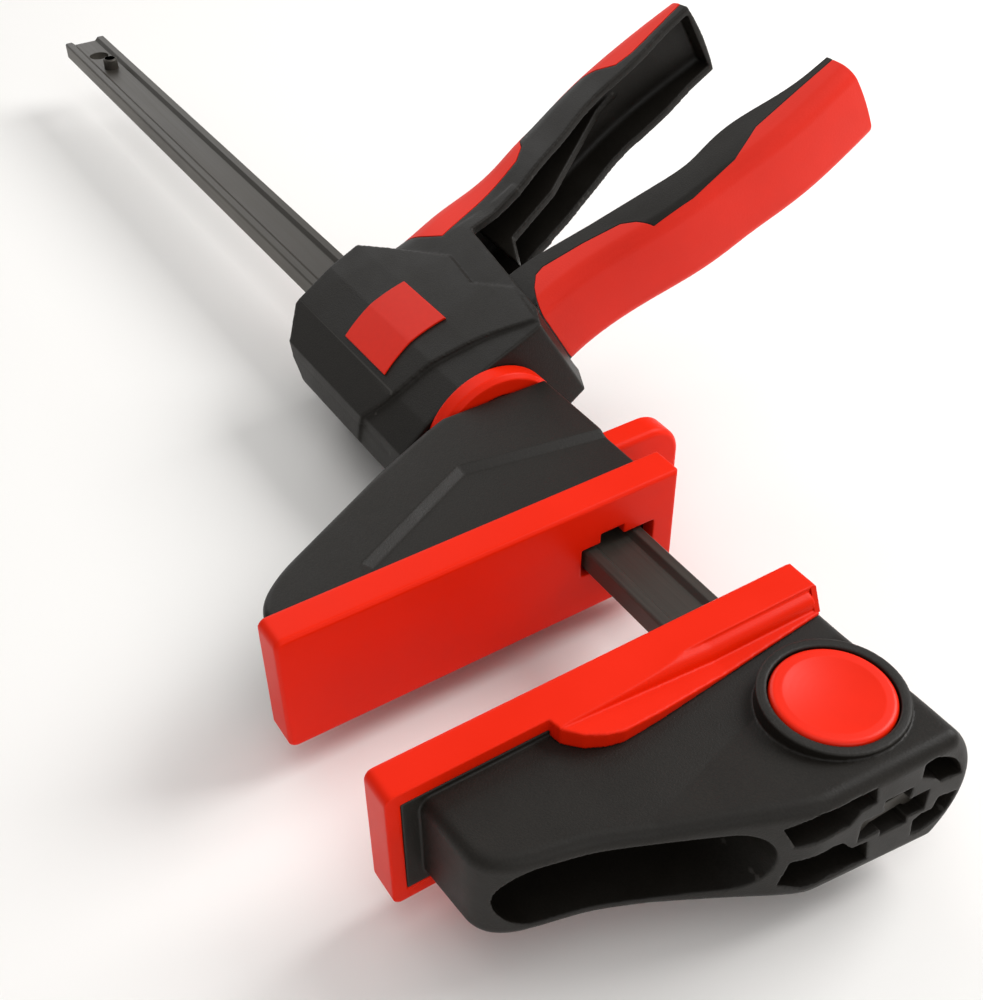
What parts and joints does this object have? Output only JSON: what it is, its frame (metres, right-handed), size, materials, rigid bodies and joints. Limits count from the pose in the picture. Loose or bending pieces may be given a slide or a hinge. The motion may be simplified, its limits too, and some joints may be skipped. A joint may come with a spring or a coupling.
{
  "type": "one-handed bar clamp",
  "caption": "One-handed trigger bar clamp with a pistol grip that swivels about the bar, a sliding jaw, a detachable fixed jaw, soft pads and a finger release.",
  "frame": {"origin": "on the bar's centre line, in the clamping plane of the fixed pad", "axes": "+X along the bar from the fixed jaw to its tail, +Y from the bar towards the jaw tips, +Z out of the flank that carries the jaw lock button"},
  "size_m": [0.4792, 0.2136, 0.1049],
  "materials": {
    "blackened_bar_steel": "hot-rolled flat bar, blackened, dull sheen",
    "black_nylon": "glass-filled nylon with a fine spark-eroded grain",
    "red_pad_plastic": "non-marring pad plastic, smooth satin",
    "red_nylon": "smooth red moulding",
    "red_soft_grip": "soft two-shot elastomer, dull",
    "red_badge": "plain red plate without lettering",
    "zinc_plated_steel": "zinc-plated steel",
    "spring_steel": "oiled spring steel"
  },
  "bodies": {
    "bar": {"rail": "blackened_bar_steel", "stop_pin": "spring_steel", "fixed_jaw": "black_nylon", "fixed_pad": "red_pad_plastic", "lock_cover": "black_nylon", "lock_spring": "spring_steel"},
    "lock": {"lock_button": "red_nylon", "lock_latch": "zinc_plated_steel"},
    "carriage": {"sliding_jaw": "black_nylon", "sliding_pad": "red_pad_plastic", "swivel_ring": "red_nylon", "retaining_ring": "spring_steel", "brake_spring": "spring_steel", "drive_spring": "spring_steel"},
    "release": {"release_slider": "red_nylon"},
    "brake": {"brake_plates": "zinc_plated_steel"},
    "handle": {"handle_body": "black_nylon", "handle_grip": "red_soft_grip", "badge": "red_badge", "trigger_pin": "zinc_plated_steel"},
    "trigger_lever": {"trigger": "black_nylon", "trigger_grip": "red_soft_grip"},
    "drive": {"drive_collar": "zinc_plated_steel", "drive_plates": "zinc_plated_steel"}
  },
  "joints": [
    {"name": "lock_press", "type": "slide", "parent": "bar", "child": "lock", "axis": [0, 0, -1], "range_m": [0, 0.004], "stiffness_N_per_m": 1500, "springref_m": -0.002, "deforming": ["lock_spring"]},
    {"name": "carriage_slide", "type": "slide", "parent": "bar", "child": "carriage", "axis": [1, 0, 0], "range_m": [-0.0386, 0.247]},
    {"name": "handle_swivel", "type": "hinge", "parent": "carriage", "child": "handle", "pos_m": [0.1, 0, 0], "axis": [1, 0, 0], "continuous": true},
    {"name": "trigger_pull", "type": "hinge", "parent": "handle", "child": "trigger_lever", "pos_m": [0.118, 0.01732, -0.01], "axis": [0, 0.5, 0.866], "range_deg": [0, 18], "stiffness_Nm_per_rad": 0.8, "springref_deg": -8.59},
    {"name": "drive_slide", "type": "slide", "parent": "carriage", "child": "drive", "axis": [1, 0, 0], "range_m": [0, 0.0065], "deforming": ["drive_spring"]},
    {"name": "release_pull", "type": "slide", "parent": "carriage", "child": "release", "axis": [1, 0, 0], "range_m": [0, 0.002], "stiffness_N_per_m": 2500, "springref_m": -0.002},
    {"name": "brake_tilt", "type": "hinge", "parent": "carriage", "child": "brake", "pos_m": [0.074, 0.0126, 0], "axis": [0, 0, 1], "range_deg": [0, 5], "deforming": ["brake_spring"]}
  ],
  "couplings": [
    {"joint": "drive_slide", "follows": "trigger_pull", "m_per_rad": 0.02},
    {"joint": "brake_tilt", "follows": "release_pull", "rad_per_m": 43.6}
  ]
}
